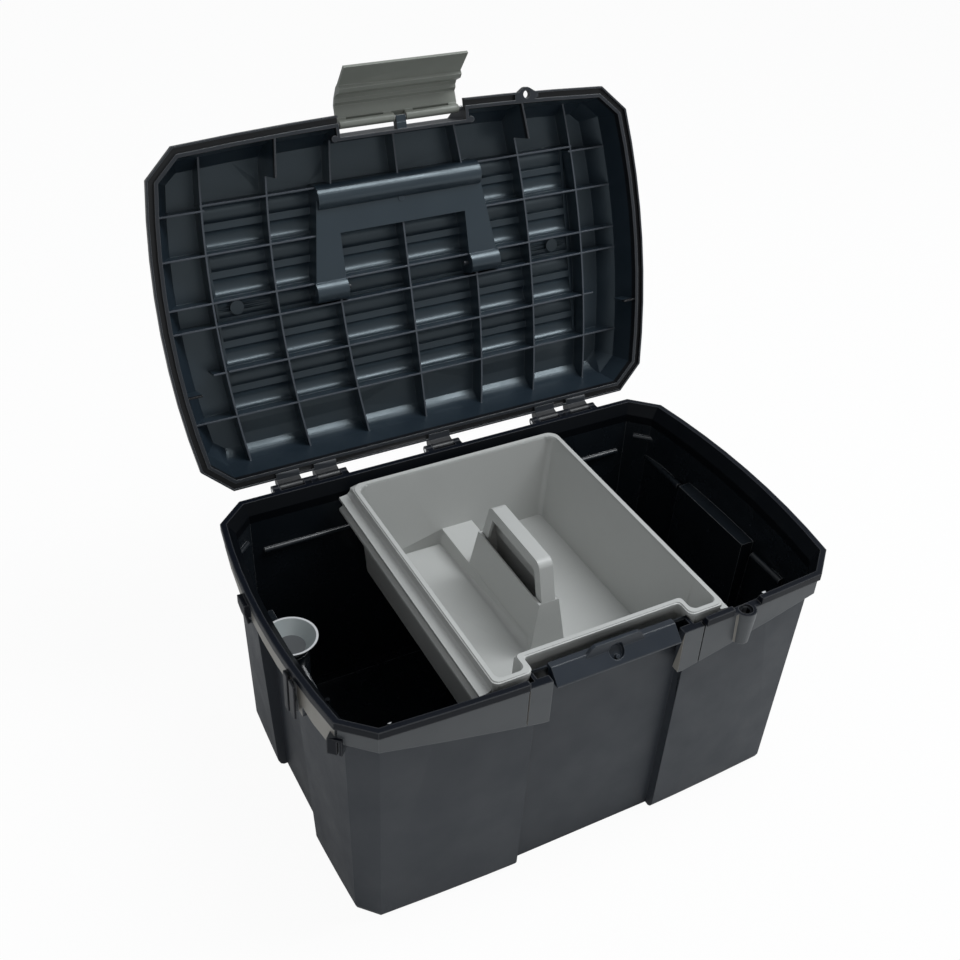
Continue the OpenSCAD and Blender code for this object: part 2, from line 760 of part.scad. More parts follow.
module lid() color([0.08, 0.1, 0.13])
    lid_pose()
        difference() {
            union() {
                difference() {
                    union() {
                        difference() {
                            lid_outer();
                            flute_field(groove_z, lid_h + 1);
                        }
                        flutes(flute_r, 0, groove_z - 1);
                        lid_flange();
                    }
                    difference() {
                        lid_inner();
                        flute_field(groove_z - lid_wall, lid_h);
                    }
                    flutes(flute_r - 2.2, 2, groove_z - lid_wall - 1);
                }
                lid_ribs();
                intersection() {
                    lid_outer();
                    union() {
                        handle_recess(lid_wall);
                        latch_housing(lid_wall);
                    }
                }
                lid_eye();
                lid_pips();
                for (x = unit_x) {
                    hinge_arm_lid(x);
                    along_x(x - lid_knuckle / 2, x + lid_knuckle / 2, hinge_y, -hinge_drop, knuckle_r);
                }
            }
            handle_recess(0);
            difference() {
                latch_housing(0);
                latch_bracket();
            }
            along_x(-half_w, half_w, hinge_y, -hinge_drop, hinge_pin_r + run);
            along_x(-latch_recess_half - 1.6, latch_recess_half + 1.6, latch_y, latch_z,
                    latch_pin_r + run / 2, 24);
            mirror_x()
                along_x(recess_mid_half - 6, recess_pivot_half + 2, pivot_y, pivot_z,
                        handle_pin_r + run / 2, 24);
            translate([eye_x, -eye_y, -1])
                cylinder(h = 10, r = lid_eye_hole_r, $fn = 48);
        }

// ---------------------------------------------------------------- latch, drawn closed

module latch_pose()
    lid_pose()
        translate([0, latch_y, latch_z])
            rotate([-latch_angle, 0, 0])
                children();

module latch() color([0.4, 0.42, 0.4])
    latch_pose()
        difference() {
            union() {
                prism_x(-latch_half, latch_half,
                        [[-4, 1.5], [-4.3, -2.5], [-10.6, -8.6], [-10, -12], [-11.4, -14],
                         [-11.2, -17.6], [-6.2, -23.8], [-6, -27.6], [-8.6, -29], [-3.9, -latch_len + 0.2],
                         [-3.9 - latch_t, -latch_len], [-10.8, -29], [-12.8, -24], [-13.4, -14],
                         [-12.4, -7.6], [-6.6, -0.5], [-5.6, 2.6]]);
                for (x = [-latch_half + 0.6, 5])
                    along_x(x, x + latch_half - 5.6, 0, 0, latch_pin_r + 1.7);
                for (x = [-latch_half + 4, -9, 9, latch_half - 4])
                    box([x - 3.4, -4.6, -2.4], [x + 3.4, 0, 2.6]);
            }
            along_x(-latch_half - 1, latch_half + 1, 0, 0, latch_pin_r + run, 24);
        }

module latch_pin() color([0.45, 0.47, 0.45])
    latch_pose()
        along_x(-latch_recess_half - 1.5, latch_recess_half + 1.5, 0, 0, latch_pin_r, 24);

// ---------------------------------------------------------------- carry handle, drawn folded

module handle_leg() {
    inner_x = recess_mid_half + lid_wall + 1.5;
    leg_z = recess_z + lid_wall + gap;
    intersection() {
        prism_x(inner_x, recess_pivot_half,
                [[grip_y, leg_z], [pivot_y, leg_z], [pivot_y, pivot_z + hub_r],
                 [grip_y + 0.76 * handle_reach, pivot_z + hub_r],
                 [grip_y + 0.68 * handle_reach, handle_top], [grip_y, handle_top]]);
        linear_extrude(body_h)
            polygon([[inner_x, grip_y], [recess_half - 5, grip_y], [inner_x + leg_w, pivot_y],
                     [inner_x, pivot_y]]);
    }
    along_x(inner_x, inner_x + leg_w, pivot_y, pivot_z, hub_r);
}

module carry_handle() color([0.1, 0.12, 0.15])
    lid_pose()
        difference() {
            union() {
                mirror_x()
                    handle_leg();
                along_x(5 - recess_half, recess_half - 5, grip_y, trough_z + 0.2, grip_r);
                along_x(5 - recess_half, recess_half - 5, grip_y, handle_top - grip_r, grip_r);
                box([5 - recess_half, grip_y - grip_r, trough_z + 0.2],
                    [recess_half - 5, grip_y + grip_r, handle_top - grip_r]);
            }
            mirror_x()
                along_x(recess_mid_half, recess_pivot_half, pivot_y, pivot_z, handle_pin_r + run, 24);
        }

module handle_pin(s)
    lid_pose()
        along_x(s > 0 ? recess_mid_half - 4 : -recess_pivot_half - 0.2,
                s > 0 ? recess_pivot_half + 0.2 : -recess_mid_half + 4, pivot_y, pivot_z, handle_pin_r, 24);

module handle_pin_left() color([0.6, 0.6, 0.62])
    handle_pin(-1);

module handle_pin_right() color([0.6, 0.6, 0.62])
    handle_pin(1);

// ---------------------------------------------------------------- tray

module round_rect(x, y0, y1, r)
    hull()
        for (sx = [-1, 1])
            for (y = [y0 + r, y1 - r])
                translate([sx * (x - r), y])
                    circle(r = r, $fn = 32);

module tray_plan(t)
    offset(r = 3, $fn = 24)
        offset(r = -6, $fn = 24)
            offset(r = 3, $fn = 24)
                union() {
                    round_rect(tray_half - t, tray_front + t, tray_y1 - t, tray_r);
                    mirror_x()
                        translate([(tray_half + ear_half) / 2, 0])
                            round_rect((tray_half - ear_half) / 2 - t, tray_y0 + t, tray_y1 - 60, 5);
                }

// Inset of a tray wall below the rim, at the sides and at the ends
function side_inset(z) = tray_draft * (body_h - z) / tray_depth;

function end_inset(z) = tray_end_draft * (body_h - z) / tray_depth;

module tray_block(t, z0, z1)
    hull()
        for (z = [z0, z1 - eps])
            translate([0, 0, z])
                linear_extrude(eps)
                    round_rect(tray_half - t - side_inset(z), tray_front + t + end_inset(z),
                               tray_y1 - t - end_inset(z), tray_r - t);

module tray_ear(t, z0, z1)
    hull()
        for (z = [z0, z1 - eps])
            translate([(tray_half + ear_half - side_inset(z) / 2) / 2, 0, z])
                linear_extrude(eps)
                    round_rect((tray_half - ear_half - side_inset(z) / 2) / 2 - t,
                               tray_y0 + t + end_inset(z), tray_front + 20, 5);

// Thicker wall above the shelf, at the rear and in front of the ears, that ends in the seat
module tray_seat()
    intersection() {
        translate([0, 0, body_h - shelf_drop])
            linear_extrude(shelf_drop - tray_lip)
                tray_plan(tray_rim - tray_wall);
        union() {
            box([-ear_half, tray_y1 - 2 * tray_rim, 0], [ear_half, tray_y1, body_h]);
            mirror_x()
                box([ear_half, tray_y0, 0], [tray_half - tray_r, tray_y0 + 2 * tray_rim, body_h]);
        }
    }

module tray_side_ledge()
    translate([0, tray_y1 + 2, 0])
        rotate([90, 0, 0])
            linear_extrude(tray_y1 - tray_y0 - 2)
                polygon([[tray_half - 6, body_h - 3], [tray_half - 1.6, body_h - 4.4],
                         [tray_half - 1, body_h - 7.5], [tray_half + 1.4, body_h - 10],
                         [tray_half + ledge_out, body_h - 11], [tray_half + ledge_out, body_h - 13.4],
                         [tray_half + 3.4, body_h - 14.6], [tray_half + 3, body_h - 18.6],
                         [tray_half + ledge_out, body_h - 21.8], [tray_half + ledge_out, body_h - 24.4],
                         [tray_half + 2.4, body_h - 26], [tray_half - 6, body_h - 28]]);

// Pedestal and rear hump; shrunk by t it is the hollow underneath.
module pedestal_shape(t) {
    foot = t > 0 ? tray_wall + 1 : 1;
    hull() {
        box([t - pedestal_half, pedestal_y0 - 2 + t, tray_floor_z - foot],
            [pedestal_half - t, pedestal_y1 + 4 - t, tray_floor_z]);
        box([t - ledge_half, pedestal_y0 + 2 + t, tray_floor_z],
            [ledge_half - t, pedestal_y1 - t, body_h - ledge_z - (t > 0 ? eps - 1 : 0)]);
    }
    hull() {
        box([t - pedestal_half, pedestal_y0 + t, tray_floor_z - foot],
            [pedestal_half - t, tray_y1 - tray_rim - tray_wall - t, tray_floor_z]);
        box([t - pedestal_half + 2, pedestal_y0 + 6, tray_floor_z],
            [pedestal_half - 2 - t, tray_y1 - tray_rim - t, body_h - hump_z - t]);
    }
}

// Side outline of the grip with rounded upper corners, kept t inside the outside
module grip_side(t)
    offset(r = grip_round - t, $fn = 48)
        offset(delta = -grip_round)
            polygon([[pedestal_y0 + 3 - grip_lean, ledge_top_z - ledge_z],
                     [pedestal_y0 + 3 + grip_lean, body_h],
                     [pedestal_y1 - 2 - grip_lean, body_h],
                     [pedestal_y1 - 2 + grip_lean, ledge_top_z - ledge_z]]);

module grip_shape(t)
    intersection() {
        translate([t - grip_half, 0, 0])
            rotate([90, 0, 90])
                linear_extrude(2 * (grip_half - t))
                    grip_side(t);
        box([-grip_half, -body_d, ledge_top_z - (t > 0 ? 2 * tray_wall : 0)], [grip_half, body_d, body_h]);
    }

// Finger window on the left; under the ledge it leaves a thin sill of the pedestal wall.
module grip_window() {
    window_top = body_h - frame_w - tray_wall + 0.6;
    translate([-2 * ledge_half, 0, 0])
        rotate([90, 0, 90])
            linear_extrude(2 * ledge_half)
                intersection() {
                    offset(r = 1.5, $fn = 24)
                        offset(delta = -frame_w - 1.5)
                            grip_side(0);
                    translate([-body_d, ledge_top_z])
                        square([2 * body_d, window_top - ledge_top_z]);
                }
    box([sill - ledge_half, pedestal_y0 + 4 + frame_w, ledge_top_z - 2 * tray_wall],
        [0, pedestal_y1 - frame_w, ledge_top_z + eps]);
}

// Turned-down lip, cut back at the ears where the front recess of the tub stands
module tray_skirt()
    difference() {
        translate([0, 0, body_h - tray_lip])
            linear_extrude(tray_lip - 3)
                tray_plan(0.4);
        mirror_x()
            box([0, -body_d, 0], [panel_half + wall + 2 * gap, -panel_top_y + wall + 2 * gap, body_h]);
    }

// Rounded rim, with its inner edge rounded into the ears as well
module tray_bead() {
    translate([0, 0, body_h - 3.6])
        linear_extrude(2.8)
            difference() {
                tray_plan(0);
                tray_plan(tray_rim);
            }
    translate([0, 0, body_h - 1])
        linear_extrude(1)
            difference() {
                tray_plan(1);
                tray_plan(tray_rim - 0.4);
            }
}

module tray() color([0.6, 0.61, 0.62])
    difference() {
        union() {
            difference() {
                union() {
                    tray_block(tray_rim - tray_wall, tray_floor_z - tray_wall, body_h - 2);
                    mirror_x() {
                        tray_ear(tray_rim - tray_wall, tray_floor_z - tray_wall, body_h - 2);
                        tray_side_ledge();
                    }
                    tray_seat();
                    tray_skirt();
                }
                tray_block(tray_rim, tray_floor_z, body_h + 1);
                mirror_x()
                    tray_ear(tray_rim, tray_floor_z, body_h + 1);
            }
            tray_bead();
            pedestal_shape(0);
        }
        pedestal_shape(tray_wall);
        grip_window();
    }

// The grip stands on the pedestal in the same moulding; it is a solid of its own.
module tray_grip() color([0.6, 0.61, 0.62])
    difference() {
        grip_shape(0);
        grip_shape(tray_wall);
        grip_window();
    }

// ---------------------------------------------------------------- cup

module cup_shape(t, top)
    intersection() {
        translate([cup_x, cup_y, cup_z])
            cylinder(h = cup_depth + top, r1 = cup_floor_r - t,
                     r2 = cup_r - t + top * (cup_r - cup_floor_r) / cup_depth, $fn = 64);
        box([cup_x - cup_flat + t, cup_y - body_d, cup_z + t], [half_w, cup_y + body_d, body_h]);
    }

module tool_cup() color([0.6, 0.61, 0.62])
    difference() {
        union() {
            cup_shape(0, 0);
            translate([cup_x, cup_y, post_top - spigot_len])
                cylinder(h = spigot_len + gap + cup_wall / 2, r = spigot_r, $fn = 48);
        }
        cup_shape(cup_wall, 1);
    }

// ---------------------------------------------------------------- hinge pins

module hinge_pin(i) color([0.6, 0.6, 0.62])
    along_x(unit_x[i] - hinge_len / 2 + gap / 2, unit_x[i] + hinge_len / 2 - gap / 2,
            hinge_y, hinge_z, hinge_pin_r, 24);

module hinge_pin_far_left() hinge_pin(0);
module hinge_pin_left() hinge_pin(1);
module hinge_pin_centre() hinge_pin(2);
module hinge_pin_right() hinge_pin(3);
module hinge_pin_far_right() hinge_pin(4);

// ---------------------------------------------------------------- nodes

tub();
lid();
latch();
latch_pin();
carry_handle();
handle_pin_left();
handle_pin_right();
tray();
tray_grip();
tool_cup();
hinge_pin_far_left();
hinge_pin_left();
hinge_pin_centre();
hinge_pin_right();
hinge_pin_far_right();
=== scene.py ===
# %% [markdown]
# # A plastic toolbox, open on the bench
# This lesson dresses a toolbox that is already built as a frame of exact parts: a tub, a ribbed
# lid, a snap latch, a folding carry handle, a lift-out tray and a small cup. The frame gives every
# place and size. What is left to make here is the look: the different finishes of moulded plastic,
# rounded edges, and the fine grain that a mould leaves.

# %% Load the frame
import json
import math

import bmesh
import bpy
from mathutils import Matrix, Vector
from mathutils.bvhtree import BVHTree


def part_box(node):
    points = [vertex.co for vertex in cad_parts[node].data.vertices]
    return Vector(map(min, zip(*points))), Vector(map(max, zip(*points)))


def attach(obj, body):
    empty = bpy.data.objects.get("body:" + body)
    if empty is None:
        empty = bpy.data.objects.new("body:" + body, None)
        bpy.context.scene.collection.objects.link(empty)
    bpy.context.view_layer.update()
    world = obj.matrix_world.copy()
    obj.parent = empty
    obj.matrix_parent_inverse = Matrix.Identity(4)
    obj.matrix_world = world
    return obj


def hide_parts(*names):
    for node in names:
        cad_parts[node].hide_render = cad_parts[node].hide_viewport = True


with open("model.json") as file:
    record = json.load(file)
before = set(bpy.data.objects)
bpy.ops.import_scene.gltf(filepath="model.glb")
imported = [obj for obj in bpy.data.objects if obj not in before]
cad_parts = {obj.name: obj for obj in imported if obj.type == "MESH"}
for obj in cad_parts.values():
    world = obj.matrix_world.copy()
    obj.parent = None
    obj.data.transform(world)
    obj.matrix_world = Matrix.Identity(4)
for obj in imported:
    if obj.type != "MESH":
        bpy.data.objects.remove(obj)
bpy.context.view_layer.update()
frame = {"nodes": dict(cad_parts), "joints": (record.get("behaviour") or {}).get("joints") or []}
scene = bpy.context.scene
MM = 0.001

# %% [markdown]
# ## The camera
# A camera that looks down on the open box from the front left is set by a turn, a height angle, a
# roll and a distance from the middle of the rim. Angles and a distance are easier to reason about
# than a bare position, and a slight roll is kept, because a hand-held camera is never quite level.

# %% Camera
CATCH_TAB = 4.2 * MM   # the tub's highest point, a tab on its catch, stands this far above the rim
RIM_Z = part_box("tub")[1].z - CATCH_TAB
CAMERA_TURN = math.radians(-30.03)
CAMERA_HEIGHT = math.radians(36.48)
CAMERA_ROLL = math.radians(3.318)
CAMERA_DISTANCE = 0.9212
CAMERA_SLIDE = (-0.03353, 0.04279)
LENS_MM = 46.088
SENSOR_MM = 36.0


def camera_axes(turn, height, roll):
    """Right, up and backward directions of a camera."""
    back = Vector((math.sin(turn) * math.cos(height),
                   -math.cos(turn) * math.cos(height),
                   math.sin(height)))
    right = Vector((math.cos(turn), math.sin(turn), 0))
    up = back.cross(right)
    return (math.cos(roll) * right + math.sin(roll) * up,
            math.cos(roll) * up - math.sin(roll) * right,
            back)


right, up, back = camera_axes(CAMERA_TURN, CAMERA_HEIGHT, CAMERA_ROLL)
camera_place = (Vector((0, 0, RIM_Z)) + right * CAMERA_SLIDE[0] + up * CAMERA_SLIDE[1]
                + back * CAMERA_DISTANCE)
lens = bpy.data.cameras.new("camera")
lens.lens = LENS_MM
lens.sensor_width = SENSOR_MM
camera = bpy.data.objects.new("camera", lens)
camera.matrix_world = (Matrix.Translation(camera_place)
                       @ Matrix((right, up, back)).transposed().to_4x4())
scene.collection.objects.link(camera)
scene.camera = camera
scene.view_settings.view_transform = "Standard"
print("camera at", [round(v, 3) for v in camera_place])

# %% [markdown]
# ## Two helpers for every material
# A material is a small tree of nodes. It could be wired by hand in the editor, but a dozen alike
# are quicker to keep in step from code. One helper turns the colours that a screen shows into the
# linear values that the renderer works with, and the other starts an empty tree and hands back the
# two calls that fill it.

# %% Shader helpers


def srgb(red, green, blue):
    """A linear colour from the 0 to 255 values that a screen shows."""
    def linear(v):
        v /= 255
        return v / 12.92 if v < 0.04045 else ((v + 0.055) / 1.055) ** 2.4
    return (linear(red), linear(green), linear(blue), 1)


def new_material(name):
    """An empty node material, its output, and the two calls that add and join nodes."""
    material = bpy.data.materials.new(name)
    material.use_nodes = True
    tree = material.node_tree
    tree.nodes.clear()
    output = tree.nodes.new("ShaderNodeOutputMaterial")

    def node(kind, **values):
        made = tree.nodes.new(kind)
        for key, value in values.items():
            if key in made.inputs:
                made.inputs[key].default_value = value
            else:
                setattr(made, key, value)
        return made

    def link(source, target):
        tree.links.new(source, target)

    return material, output, node, link


print("colour 128 on the screen is", round(srgb(128, 128, 128)[0], 3), "in linear light")

# %% [markdown]
# ## Floor, world and lamps
# A product shot needs a pale floor that keeps the object's soft shadow and lamps large enough to
# draw long soft highlights. The lamps and the world together light a surface at about the level
# where its colour renders as written, so the white comes from the floor's colour and not from more
# light. The light path tells what the camera sees, which turns white, from what lights the object.
# Gloss gets a small share of that white, because more would turn the black mouldings grey.

# %% White for the eye
GLOSS_SHARE = 0.15
WHITE = (1, 1, 1, 1)


def shows_white(tree):
    """1 for what is seen straight or through glass, and a share of it for what gloss reflects."""
    path = tree.nodes.new("ShaderNodeLightPath")
    straight = tree.nodes.new("ShaderNodeMath")
    straight.operation = "MAXIMUM"
    tree.links.new(path.outputs["Is Camera Ray"], straight.inputs[0])
    tree.links.new(path.outputs["Is Transmission Ray"], straight.inputs[1])
    shared = tree.nodes.new("ShaderNodeMath")
    shared.operation = "MULTIPLY_ADD"
    shared.inputs[1].default_value = GLOSS_SHARE
    tree.links.new(path.outputs["Is Glossy Ray"], shared.inputs[0])
    tree.links.new(straight.outputs[0], shared.inputs[2])
    return shared.outputs[0]


# %% Floor
FLOOR_COLOUR = srgb(246, 246, 246)
FLOOR_HALF = 6.0
FLOOR_GLOW = 0.95
FLOOR_ROUGH, FLOOR_SPECULAR = 0.9, 0.1
floor_mesh = bpy.data.meshes.new("floor")
bm = bmesh.new()
bmesh.ops.create_grid(bm, x_segments=1, y_segments=1, size=FLOOR_HALF)
bm.to_mesh(floor_mesh)
bm.free()
floor = bpy.data.objects.new("floor", floor_mesh)
scene.collection.objects.link(floor)
material, output, node, link = new_material("floor_paper")
surface = node("ShaderNodeBsdfPrincipled", Roughness=FLOOR_ROUGH)
surface.inputs["Base Color"].default_value = FLOOR_COLOUR
surface.inputs["Specular IOR Level"].default_value = FLOOR_SPECULAR
backlight = node("ShaderNodeEmission")
backlight.inputs["Color"].default_value = WHITE
glow = node("ShaderNodeMath", operation="MULTIPLY")
glow.inputs[1].default_value = FLOOR_GLOW
link(shows_white(material.node_tree), glow.inputs[0])
paper = node("ShaderNodeMixShader")
link(glow.outputs[0], paper.inputs[0])
link(surface.outputs[0], paper.inputs[1])
link(backlight.outputs[0], paper.inputs[2])
link(paper.outputs[0], output.inputs[0])
floor_mesh.materials.append(material)
print("a floor", 2 * FLOOR_HALF, "m square")

# %% World
WORLD_STRENGTH = 0.34
WORLD_COLOUR = (0.93, 0.97, 1.0, 1)
world = bpy.data.worlds.new("studio")
world.use_nodes = True
scene.world = world
sky = world.node_tree
sky.nodes.clear()
sky_out = sky.nodes.new("ShaderNodeOutputWorld")
sky_mix = sky.nodes.new("ShaderNodeMixShader")
sky_soft = sky.nodes.new("ShaderNodeBackground")
sky_white = sky.nodes.new("ShaderNodeBackground")
sky_soft.inputs[0].default_value = WORLD_COLOUR
sky_soft.inputs[1].default_value = WORLD_STRENGTH
sky_white.inputs[0].default_value = WHITE
sky.links.new(shows_white(sky), sky_mix.inputs[0])
sky.links.new(sky_soft.outputs[0], sky_mix.inputs[1])
sky.links.new(sky_white.outputs[0], sky_mix.inputs[2])
sky.links.new(sky_mix.outputs[0], sky_out.inputs[0])
print("world at strength", WORLD_STRENGTH)

# %% Lamps


def softbox(name, position, target, size, watts, colour):
    """A rectangular lamp that shines from one point towards another."""
    lamp = bpy.data.lights.new(name, "AREA")
    lamp.shape = "RECTANGLE"
    lamp.size, lamp.size_y = size
    lamp.energy = watts
    lamp.color = colour
    holder = bpy.data.objects.new(name, lamp)
    holder.location = position
    aim = Vector(target) - Vector(position)
    holder.rotation_euler = aim.to_track_quat("-Z", "Y").to_euler()
    scene.collection.objects.link(holder)
    print(name, "with", watts, "watts")


softbox("key_lamp", position=(0.75, -0.2, 1.95), target=(0, 0.1, 0.3), size=(0.6, 1.4),
        watts=27, colour=(0.95, 0.98, 1.0))
softbox("fill_lamp", position=(-0.9, -1.9, 1.5), target=(0, 0, 0.2), size=(1.2, 0.8),
        watts=3, colour=(1.0, 0.97, 0.93))

# %% [markdown]
# ## Moulded plastic
# Every finish on this box is the same family: injection-moulded polypropylene. What tells them
# apart is the steel they were moulded against. The outside of the tub came off an etched tool and
# has a fine grain, and the inside came off polished steel and is glossy. Each could have its own
# tree, but one function makes them all, so that they stay related: the colour is clouded a little,
# the roughness varies, a grain sits in the bump, and a bevel node rounds each edge so that it
# catches the light. Where the rounded normal leaves the flat one, the edge is painted paler, a
# painted highlight.

# %% Plastic
NOISE_RANGE = (0.3, 0.7)      # most of a noise texture's values lie between these
CLOUD_SCALE, STREAK_SCALE = 9.0, 35.0
EDGE_RANGE = (0.99, 0.75)     # how the rounded and the flat normal agree, from face to edge
# how much paler an edge is painted, a painted highlight
EDGE_HIGHLIGHT_GAIN = 1.6
GLOSS_SWING, SMOOTHEST = 0.06, 0.05
GRAIN_DEPTH = 0.4 * MM
BEVEL_SAMPLES = 4


def spread(node, link, source, start, stop, low, high):
    """Maps a value that runs from start to stop onto the range from low to high."""
    ranged = node("ShaderNodeMapRange")
    ranged.inputs["From Min"].default_value = start
    ranged.inputs["From Max"].default_value = stop
    ranged.inputs["To Min"].default_value = low
    ranged.inputs["To Max"].default_value = high
    link(source, ranged.inputs["Value"])
    return ranged.outputs[0]


def plastic(name, colour, rough, grain_scale=900.0, grain=0.15, cloud=0.12, edge=0.6 * MM,
            edge_highlight_share=0.25, edge_highlight_lift=0.02, ior=1.49, sheen=(1, 1, 1)):
    """Moulded plastic: clouded colour, uneven gloss, fine grain, edges with a painted highlight."""
    material, output, node, link = new_material(name)
    place = node("ShaderNodeTexCoord").outputs["Object"]
    surface = node("ShaderNodeBsdfPrincipled")
    surface.inputs["IOR"].default_value = ior
    surface.inputs["Specular Tint"].default_value = (*sheen, 1)

    clouds = node("ShaderNodeTexNoise", Scale=CLOUD_SCALE, Detail=5.0, Roughness=0.6)
    link(place, clouds.inputs["Vector"])
    tinted = node("ShaderNodeVectorMath", operation="SCALE")
    tinted.inputs[0].default_value = colour[:3]
    tone = spread(node, link, clouds.outputs["Fac"], *NOISE_RANGE, 1 - cloud, 1 + cloud)
    link(tone, tinted.inputs["Scale"])

    rounded = node("ShaderNodeBevel", samples=BEVEL_SAMPLES, Radius=edge)
    flat = node("ShaderNodeNewGeometry")
    facing = node("ShaderNodeVectorMath", operation="DOT_PRODUCT")
    link(rounded.outputs[0], facing.inputs[0])
    link(flat.outputs["Normal"], facing.inputs[1])
    # the edges are painted paler where the rounded normal turns away, a painted highlight
    painted_edge_highlight = node("ShaderNodeMix", data_type="RGBA")
    painted_edge_highlight.inputs["B"].default_value = [min(1, EDGE_HIGHLIGHT_GAIN * c + edge_highlight_lift) for c in colour[:3]] + [1]
    link(spread(node, link, facing.outputs["Value"], *EDGE_RANGE, 0, edge_highlight_share), painted_edge_highlight.inputs["Factor"])
    link(tinted.outputs[0], painted_edge_highlight.inputs["A"])
    link(painted_edge_highlight.outputs["Result"], surface.inputs["Base Color"])

    streaks = node("ShaderNodeTexNoise", Scale=STREAK_SCALE, Detail=3.0, Roughness=0.55)
    link(place, streaks.inputs["Vector"])
    smoothest = max(SMOOTHEST, rough - GLOSS_SWING)
    gloss = spread(node, link, streaks.outputs["Fac"], *NOISE_RANGE, smoothest, rough + GLOSS_SWING)
    link(gloss, surface.inputs["Roughness"])

    pits = node("ShaderNodeTexNoise", Scale=grain_scale, Detail=2.0, Roughness=0.5)
    link(place, pits.inputs["Vector"])
    bump = node("ShaderNodeBump", Strength=grain, Distance=GRAIN_DEPTH)
    link(pits.outputs["Fac"], bump.inputs["Height"])
    link(rounded.outputs[0], bump.inputs["Normal"])
    link(bump.outputs[0], surface.inputs["Normal"])
    link(surface.outputs[0], output.inputs[0])
    print("finish", name)
    return material


# %% [markdown]
# ## The finishes
# A box like this has only three colours of plastic, near black, a mid grey and a pale grey, but
# each zone of a moulding has its own gloss, its edges are painted paler as a painted highlight,
# and some zones are painted lighter or darker as painted light and painted shade. Image
# textures could carry that, but they would need unwrapped meshes. A finish for each zone, picked
# face by face further on, keeps the borders exactly where the moulding has them.

# %% Finishes of the tub
shell_grain = plastic("shell_grain", srgb(50, 54, 60), rough=0.5, grain_scale=1100, grain=0.3,
                      cloud=0.06, ior=1.4)
# the skirt's colour is painted lighter than the walls, a painted light; its satin gloss is its own
skirt_satin_painted_light = plastic("skirt_satin_painted_light", srgb(71, 74, 77), rough=0.42, grain=0.1, cloud=0.05,
                      edge=1.0 * MM, edge_highlight_share=0.6, edge_highlight_lift=0.12)
# the skirt's sideways faces are painted paler still, a painted light
skirt_side_painted_light = plastic("skirt_side_painted_light", srgb(150, 146, 139), rough=0.45, grain=0.1, cloud=0.05,
                     edge=1.0 * MM, edge_highlight_share=0.6, edge_highlight_lift=0.12)
rim_satin = plastic("rim_satin", srgb(14, 18, 26), rough=0.36, grain=0.05, edge=1.6 * MM,
                    edge_highlight_share=0.9, edge_highlight_lift=0.12, ior=1.22)
catch_satin = plastic("catch_satin", srgb(27, 35, 45), rough=0.38, grain=0.05, edge=1.2 * MM,
                      edge_highlight_share=0.6, edge_highlight_lift=0.1)
inner_gloss = plastic("inner_gloss", srgb(22, 27, 32), rough=0.26, grain=0.03, edge=0.8 * MM,
                      edge_highlight_share=0.9, edge_highlight_lift=0.2)
# a darker, duller copy of the inside for the band under the rim, a painted shade
inner_band_painted_shade = plastic("inner_band_painted_shade", srgb(9, 12, 16), rough=0.4, grain=0.03, ior=1.2)
# the studs are painted pale, a painted glint
stud_painted_glint = plastic("stud_painted_glint", srgb(205, 206, 208), rough=0.4, grain=0.03)

# %% Finishes of the lid, its latch and its handle
lid_gloss = plastic("lid_gloss", srgb(31, 41, 50), rough=0.36, grain=0.04, cloud=0.08,
                    ior=1.75, sheen=(0.8, 0.93, 1.0))
lid_rim = plastic("lid_rim", srgb(12, 14, 18), rough=0.4, grain=0.05)
# the free edges of the ribs are painted light, a painted highlight
rib_edge_painted_highlight = plastic("rib_edge_painted_highlight", srgb(72, 78, 86), rough=0.4, grain=0.05, cloud=0.1)
lip_face = plastic("lip_face", srgb(34, 38, 44), rough=0.4, grain=0.05, edge=1.0 * MM,
                   edge_highlight_share=0.8, edge_highlight_lift=0.12)
handle_satin = plastic("handle_satin", srgb(36, 40, 46), rough=0.4, grain=0.1)
latch_grey = plastic("latch_grey", srgb(126, 129, 122), rough=0.42, grain=0.08, edge=0.9 * MM,
                     edge_highlight_share=0.7, edge_highlight_lift=0.15)

# %% Finishes of the tray and the cup
tray_grey = plastic("tray_grey", srgb(189, 190, 188), rough=0.42, grain_scale=1300, grain=0.12,
                    cloud=0.03)
# the grip's hollow is painted dark, a painted shade
hollow_painted_shade = plastic("hollow_painted_shade", srgb(38, 36, 34), rough=0.6, grain=0.1)
cup_grey = plastic("cup_grey", srgb(150, 156, 157), rough=0.38, grain=0.05, cloud=0.03)
# the top of the cup's mouth is painted pale, a painted highlight; its floor is painted darker, a
# painted shade
cup_rim_painted_highlight = plastic("cup_rim_painted_highlight", srgb(206, 207, 209), rough=0.38, grain=0.05)
cup_floor_painted_shade = plastic("cup_floor_painted_shade", srgb(76, 78, 80), rough=0.5, grain=0.05)

# %% [markdown]
# ## Bright wire
# The hinge pins and the latch's rod are cut from drawn steel wire, so the metal is bright, with
# fine lines along its length. Scratches could be cut into the mesh, but at this size a noise that
# is stretched along the wire gives the same lines for nothing.

# %% Wire
WIRE_STRETCH = (60, 2500, 2500)
WIRE_ROUGH = (0.15, 0.4)
WIRE_TONE = (0.7, 0.95)
pin_wire, output, node, link = new_material("pin_wire")
surface = node("ShaderNodeBsdfPrincipled", Metallic=1.0)
place = node("ShaderNodeTexCoord").outputs["Object"]
stretch = node("ShaderNodeMapping", Scale=WIRE_STRETCH)
lines = node("ShaderNodeTexNoise", Scale=1.0, Detail=2.0)
link(place, stretch.inputs["Vector"])
link(stretch.outputs[0], lines.inputs["Vector"])
link(spread(node, link, lines.outputs["Fac"], 0, 1, *WIRE_TONE), surface.inputs["Base Color"])
link(spread(node, link, lines.outputs["Fac"], 0, 1, *WIRE_ROUGH), surface.inputs["Roughness"])
link(surface.outputs[0], output.inputs[0])
print("finish", pin_wire.name)

